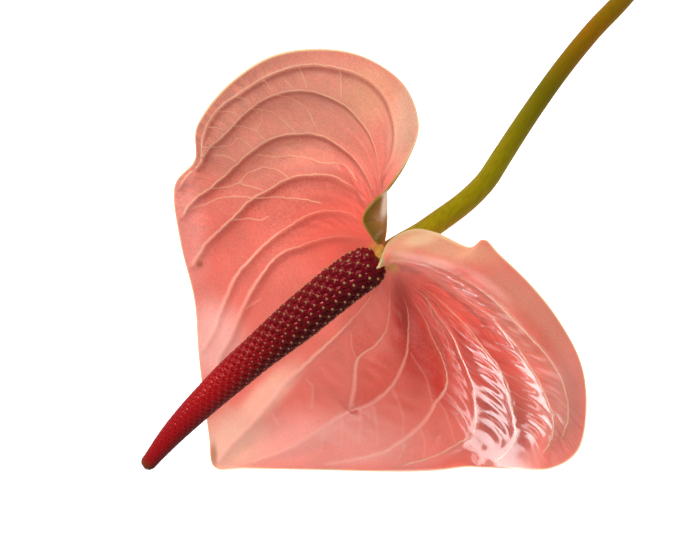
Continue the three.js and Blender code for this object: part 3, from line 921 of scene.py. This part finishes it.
# %% One floret: four tepals round a small pit
bpy.ops.object.select_all(action="DESELECT")
bpy.ops.mesh.primitive_circle_add(vertices=12, radius=1.0, fill_type="NGON")
floret = bpy.context.object
floret.name = "floret"
bpy.ops.object.mode_set(mode="EDIT")
bpy.ops.mesh.select_all(action="SELECT")
# Each step sets the face in by so much and then moves it up or down by so much.
for inset, up_by in ((0.16, 0.34), (0.32, 0.16), (0.28, -0.02), (0.08, -0.10)):
    bpy.ops.mesh.inset(thickness=inset, depth=0)
    bpy.ops.transform.translate(value=(0, 0, up_by))
bpy.ops.object.mode_set(mode="OBJECT")
# Four seams part the tepals, and the whole floret sinks so that its crown is near zero.
for vertex in floret.data.vertices:
    radius = math.hypot(vertex.co.x, vertex.co.y)
    seam = math.cos(2 * math.atan2(vertex.co.y, vertex.co.x)) ** 8
    if 0.2 < radius < 0.95:
        vertex.co.z -= 0.22 * seam
    vertex.co.z -= 0.36
bpy.ops.mesh.primitive_uv_sphere_add(segments=10, ring_count=6, radius=0.24)
nub = bpy.context.object
nub.name = "nub"
print("floret corners:", len(floret.data.vertices), "nub corners:", len(nub.data.vertices))

# %% Where the florets stand
GOLDEN = math.pi * (3 - math.sqrt(5))
FLORET_SIZE = 0.64     # a floret's radius, as a share of the side of the square that it has
# Room of one floret in square mm, at mm from the foot
ROOM = np.array([[0, 6.4], [25, 5.2], [40, 3.5], [55, 2.1], [70, 1.5], [83, 0.9]])
SLOPE_MM = 0.4         # the slope of the skin is measured over this far each way
fine_s = np.linspace(0.25, spadix_mm - 0.3, 4000)
density = 2 * np.pi * outline(fine_s) / np.interp(fine_s, ROOM[:, 0], ROOM[:, 1])
count_to = np.concatenate([[0], np.cumsum((density[1:] + density[:-1]) / 2 * np.diff(fine_s))])
florets_wanted = int(count_to[-1])
stand = np.interp(np.arange(florets_wanted) + 0.5, count_to, fine_s)


def copied(name, pattern, sinks, heights):
    """A small mesh at every floret's place, sunk by so many mm, its height times so much."""
    local = np.array([vertex.co[:] for vertex in pattern.data.vertices])
    faces = [list(face.vertices) for face in pattern.data.polygons]
    points, polygons = [], []
    for n, (s, sink, height) in enumerate(zip(stand, sinks, heights)):
        low, high = max(s - SLOPE_MM, 0), s + SLOPE_MM
        slope = (outline(high) - outline(low)) / (high - low)
        angle = n * GOLDEN
        ring = np.array([0, math.cos(angle), math.sin(angle)])
        up = ring - slope * np.array([1.0, 0, 0])
        up /= np.linalg.norm(up)
        ahead = np.array([1.0, 0, 0]) + slope * ring
        ahead /= np.linalg.norm(ahead)
        aside = np.cross(up, ahead)
        size = math.sqrt(np.interp(s, ROOM[:, 0], ROOM[:, 1])) * FLORET_SIZE
        base = outline(s) * ring + np.array([s, 0, 0]) - up * sink
        polygons.extend([[k + n * len(local) for k in face] for face in faces])
        points.append(local * size @ [ahead, aside, up * height] + base)
    mesh = bpy.data.meshes.new(name)
    mesh.from_pydata((np.concatenate(points) * MM).tolist(), [], polygons)
    piece = bpy.data.objects.new(name, mesh)
    bpy.context.scene.collection.objects.link(piece)
    keep(piece, "along", np.repeat(stand, len(local)))
    return piece


# Tepals grow flatter towards the tip, and the stigmas there sink in.
tepals = copied("tepals", floret, np.full(florets_wanted, 0.02),
                np.interp(stand, [0, 40, 60, 83], [1.0, 0.85, 0.5, 0.25]))
stigmas = copied("stigmas", nub, np.interp(stand, [0, 30, 60, 83], [0.0, 0.06, 0.2, 0.3]),
                 np.full(florets_wanted, 1.3))
bpy.data.objects.remove(floret)
bpy.data.objects.remove(nub)
bpy.ops.object.select_all(action="DESELECT")
tepals.select_set(True)
core.select_set(True)
bpy.context.view_layer.objects.active = core
bpy.ops.object.join()
spadix = core
spadix.name = "spadix_spike"
middle_line = laid(spadix_line)
to_key = np.array(SHOULDER) - middle_line[len(middle_line) // 2]
to_key /= np.linalg.norm(to_key)
print("florets:", florets_wanted)
for piece in (spadix, stigmas):
    bent(piece, middle_line)
    bpy.ops.object.shade_smooth()
    # Painted shade and light: the red is made deeper on the side away from the key box and brighter
    # on the side that faces it.
    points = corners_of(piece)
    apart = (middle_line ** 2).sum(1) - 2 * points @ middle_line.T
    outward = points - middle_line[np.argmin(apart, axis=1)]
    towards = outward @ to_key / np.linalg.norm(outward, axis=1)
    keep(piece, "lit", smoothstep(towards, -0.35, 0.55))
    piece.data.calc_loop_triangles()
    print(piece.name, "triangles:", len(piece.data.loop_triangles))

# %% [markdown]
# ## Spathe finish
#
# The blade is living leaf tissue: a thin waxy skin over juicy cells. Light goes into it and comes
# out coral, so it gets subsurface scattering with a red reach, and the wax is a clear coat. In
# the lists of inputs, a map range takes a value, the two ends that it lies between and the two
# ends that it goes to. A mix takes its share as 0 and its two colours as 6 and 7.


# %% Spathe material: what it reads, and the patterns that follow the veins
tree = dressed_in(spathe, "waxy leaf tissue, coral")
value = {name: add(tree, "Attribute", attribute_name=name).outputs["Fac"]
         for name in (*KEPT, "back")}
paint_here = add(tree, "Attribute", attribute_name="paint").outputs["Color"]
spot = add(tree, "TexCoord").outputs["Object"]

# Ribs fan out from the neck, hatching runs in from the margin, and wrinkles slant from vein to
# vein. Each has the two coordinates that it runs along, their steps, its detail and roughness.
PATTERNS = {
    "ribs": ("lanes_off", "neck", (5.0, 1 / 22, 1.0), 2.0, 0.5),
    "hatch": ("spoke", "rim", (8.5, 1 / 10, 1.0), 3.0, 0.7),
    "wrinkles": ("slant", "lanes_off", (1 / 2.6, 0.5, 1.0), 1.0, 0.5),
}
pattern = {}
for name, (first, second, steps, detail, roughness) in PATTERNS.items():
    net_place = add(tree, "CombineXYZ", {"X": value[first], "Y": value[second]})
    net_place = add(tree, "Mapping", {"Vector": net_place, "Scale": steps})
    pattern[name] = add(tree, "TexNoise", {
        "Vector": net_place, "Scale": 1.0, "Detail": detail, "Roughness": roughness})
for name, where in (("ribs", "ribbed"), ("hatch", "hatched")):
    stroke = add(tree, "MapRange", (pattern[name], 0.36, 0.64, -1.0, 1.0))
    pattern[name] = add(tree, "Math", (stroke, value[where]), operation="MULTIPLY")
strokes = add(tree, "Math", (pattern["hatch"], 0.8, pattern["ribs"]), operation="MULTIPLY_ADD")

# %% Ground tint: the paint, with a fine grain of cells, a slow drift, and the strokes
grain = add(tree, "TexNoise", {
    "Vector": spot, "Scale": 1 / (0.42 * MM), "Detail": 2.5, "Roughness": 0.65})
cloud = add(tree, "TexNoise", {"Vector": spot, "Scale": 1 / (11 * MM), "Detail": 3.0})
shade = add(tree, "MapRange", (grain, 0.25, 0.75, value["grain_low"], 1.07))
drift = add(tree, "MapRange", (cloud, 0.3, 0.7, 0.93, 1.05))
stroke_shade = add(tree, "Math", (strokes, 0.18, 1.0), operation="MULTIPLY_ADD")
for factor in (drift, stroke_shade):
    shade = add(tree, "Math", (shade, factor), operation="MULTIPLY")
ground = add(tree, "Mix", {0: 1.0, 6: paint_here, 7: shade}, data_type="RGBA",
             blend_type="MULTIPLY")

# Painted shade: a deeper red just below each vein of the left half
painted_vein_shade_in = add(tree, "MapRange", (value["vein"], 0.15, 0.7), interpolation_type="SMOOTHSTEP")
painted_vein_shade_out = add(tree, "MapRange", (value["vein"], 2.6, 0.7, 0.0, 0.55),
                 interpolation_type="SMOOTHSTEP")
painted_vein_shade = add(tree, "Math", (painted_vein_shade_in, painted_vein_shade_out), operation="MULTIPLY")
painted_vein_shade = add(tree, "Math", (painted_vein_shade, value["painted_vein_shade"]), operation="MULTIPLY")

# %% Pale lines: veins and twigs, sharp near the front and soft where they lie deep, and a net
sway = add(tree, "TexNoise", {"Vector": spot, "Scale": 1 / (2.2 * MM), "Detail": 1.0})
sway = add(tree, "Math", (sway, 0.5), operation="SUBTRACT")
drawn = []
for name, wobble, show in (("vein", 0.5, value["vein_show"]), ("twig", 0.65, 0.56)):
    line = add(tree, "Math", (sway, wobble, value[name]), operation="MULTIPLY_ADD")
    line = add(tree, "Math", (line,), operation="ABSOLUTE")
    line = add(tree, "MapRange", (line, value[name + "_half"], 0.0, 0.0, show),
               interpolation_type="SMOOTHSTEP")
    drawn.append(add(tree, "Math", (line, value[name + "_near"]), operation="MULTIPLY"))
net = add(tree, "TexVoronoi", {"Vector": spot, "Scale": 1 / (1.5 * MM)},
          feature="DISTANCE_TO_EDGE")
net = add(tree, "MapRange", (net, 0.12, 0.0, 0.0, 0.10))
net = add(tree, "Math", (net, value["net"]), operation="MULTIPLY")
lines = add(tree, "Math", drawn, operation="MAXIMUM")
lines = add(tree, "Math", (lines, net), operation="MAXIMUM")
line_tint = add(tree, "Mix", {0: value["deep"], 6: rgb("#f5d0aa"), 7: rgb("#ffc4b4")},
                data_type="RGBA")

# %% A thin rim, cream or green, and olive tissue with a painted highlight on the back of the rolled edge by the neck
rim = add(tree, "MapRange", (value["rim"], value["rim_wide"], 0.1, 0.0, 0.85),
          interpolation_type="SMOOTHSTEP")
rim_tint = add(tree, "Mix", {0: value["green_rim"], 6: rgb("#f0d3a4"), 7: rgb("#8a8428")},
               data_type="RGBA")
olive_back = add(tree, "Math", (value["olive"], value["back"]), operation="MULTIPLY")
from_rim = add(tree, "MapRange", (value["rim"], 0.8, 4.5))
olive_tint = add(tree, "Mix", {0: from_rim, 6: rgb("#846018"), 7: rgb("#b0763c")},
                 data_type="RGBA")
# A pale painted highlight streak over the olive back of the curl
olive_tint = add(tree, "Mix", {0: value["painted_curl_highlight"], 6: olive_tint, 7: rgb("#f2dcc4")},
                 data_type="RGBA")
# Each layer covers what lies below it where it shows.
skin = ground
for shown, tint in ((painted_vein_shade, rgb("#ac4034")), (lines, line_tint), (rim, rim_tint),
                    (olive_back, olive_tint)):
    skin = add(tree, "Mix", {0: shown, 6: skin, 7: tint}, data_type="RGBA")

# %% Fine relief, the clear coat, and the tissue
crease = add(tree, "Math", (value["creased"], 3.3, 0.35), operation="MULTIPLY_ADD")
relief = add(tree, "Math", (pattern["wrinkles"], crease), operation="MULTIPLY")
relief = add(tree, "Math", (relief, lines), operation="ADD")
relief = add(tree, "Math", (grain, 0.12, relief), operation="MULTIPLY_ADD")
relief = add(tree, "Math", (strokes, 0.7, relief), operation="MULTIPLY_ADD")
bump = add(tree, "Bump", {"Height": relief, "Distance": 0.22 * MM, "Strength": 1.0})
wax = add(tree, "Math", (olive_back, 0.1, 0.02), operation="MULTIPLY_ADD")
front = add(tree, "Math", (1.0, value["back"]), operation="SUBTRACT")
front = add(tree, "Math", (value["waxy"], front), operation="MULTIPLY")
wax = add(tree, "Math", (front, 0.6, wax), operation="MULTIPLY_ADD")
tissue = add(tree, "BsdfPrincipled", {
    "Base Color": skin, "Roughness": 0.55, "IOR": 1.42, "Specular IOR Level": 0.1,
    "Subsurface Weight": 0.75, "Subsurface Radius": (1.0, 0.42, 0.30),
    "Subsurface Scale": 1.2 * MM, "Coat Weight": wax, "Coat Roughness": 0.12,
    "Coat IOR": 1.8, "Normal": bump})
add(tree, "OutputMaterial", {"Surface": tissue})
print("nodes in the blade's material:", len(tree.nodes))

# %% [markdown]
# ## Stem and spadix finish
#
# The stem turns from amber at its neck over yellow green to olive brown. The spadix is dark red,
# with painted shade that deepens it on the side away from the key box and painted light on the
# side that faces it, and its stigmas are buff at the foot and red at the tip.


# %% A tint that changes along a rod
def tint_along(tree, end_mm, stops):
    """A colour ramp along a rod, its stops at shares of the way from 0 to end_mm."""
    along = add(tree, "Attribute", attribute_name="along").outputs["Fac"]
    share = add(tree, "MapRange", (along, 0.0, end_mm))
    made = add(tree, "ValToRGB", {"Fac": share})
    elements = made.color_ramp.elements
    while len(elements) < len(stops):
        elements.new(0.5)
    for element, (position, code) in zip(elements, stops):
        element.position = position
        element.color = rgb(code)
    return made


# %% Stem material
tree = dressed_in(stem, "smooth green stem skin")
green = tint_along(tree, 120.0, [
    (0.0, "#d8a050"), (0.045, "#d0a044"), (0.075, "#c0a420"), (0.15, "#ac980a"),
    (0.35, "#988804"), (0.55, "#7c6c02"), (0.72, "#a06a04"), (1.0, "#82740c")])
spot = add(tree, "TexCoord").outputs["Object"]
fibre = add(tree, "Mapping", {"Vector": spot, "Scale": (1.0, 0.06, 1.0)})
fibre = add(tree, "TexNoise", {"Vector": fibre, "Scale": 1 / (0.6 * MM), "Detail": 2.0})
fibre_show = add(tree, "MapRange", (fibre, 0.4, 0.7, 0.0, 0.4))
green = add(tree, "Mix", {0: fibre_show, 6: green, 7: rgb("#6c6a02")}, data_type="RGBA")
bump = add(tree, "Bump", {"Height": fibre, "Distance": 0.05 * MM, "Strength": 0.6})
stem_skin = add(tree, "BsdfPrincipled", {
    "Base Color": green, "Roughness": 0.36, "IOR": 1.24, "Specular IOR Level": 0.3,
    "Subsurface Weight": 0.2, "Subsurface Radius": (1.0, 0.8, 0.1),
    "Subsurface Scale": 0.8 * MM, "Normal": bump})
add(tree, "OutputMaterial", {"Surface": stem_skin})

# %% Spadix materials
SPADIX_END_MM = 83.0
tree = dressed_in(spadix, "fleshy tepals, dark red")
red = tint_along(tree, SPADIX_END_MM, [
    (0.0, "#6c0518"), (0.35, "#740612"), (0.65, "#ae0c14"), (0.97, "#a21018"),
    (1.0, "#7d3a1c")])
spot = add(tree, "TexCoord").outputs["Object"]
pores = add(tree, "TexNoise", {"Vector": spot, "Scale": 1 / (0.35 * MM), "Detail": 2.0})
bump = add(tree, "Bump", {"Height": pores, "Distance": 0.09 * MM, "Strength": 1.0})
# Painted shade and light: the red is multiplied by 0.35 on the side away from the key box and by up
# to 1.15 on the side facing it.
lit = add(tree, "Attribute", attribute_name="lit").outputs["Fac"]
lit = add(tree, "MapRange", (lit, 0.0, 1.0, 0.35, 1.15))
red = add(tree, "Mix", {0: 1.0, 6: red, 7: lit}, data_type="RGBA", blend_type="MULTIPLY")
flesh = add(tree, "BsdfPrincipled", {
    "Base Color": red, "Roughness": 0.2, "IOR": 1.49, "Specular IOR Level": 0.5,
    "Specular Tint": rgb("#ff9c8e"), "Normal": bump})
add(tree, "OutputMaterial", {"Surface": flesh})

tree = dressed_in(stigmas, "dry stigma, buff")
buff = tint_along(tree, SPADIX_END_MM, [
    (0.0, "#b48e54"), (0.35, "#a87850"), (0.6, "#a44a38"), (0.8, "#9a1c1c")])
dry = add(tree, "BsdfPrincipled", {"Base Color": buff, "Roughness": 0.6})
add(tree, "OutputMaterial", {"Surface": dry})
print("materials:", ", ".join(material.name for material in bpy.data.materials))

# %% Ride, replace and finish
for piece, node_name in ((spathe, "spathe"), (stem, "stem"), (spadix, "spadix"),
                         (stigmas, "spadix")):
    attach(piece, "root")
    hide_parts(node_name)
alone["blade"].objects.link(spathe)
alone["spadix"].objects.link(spadix)
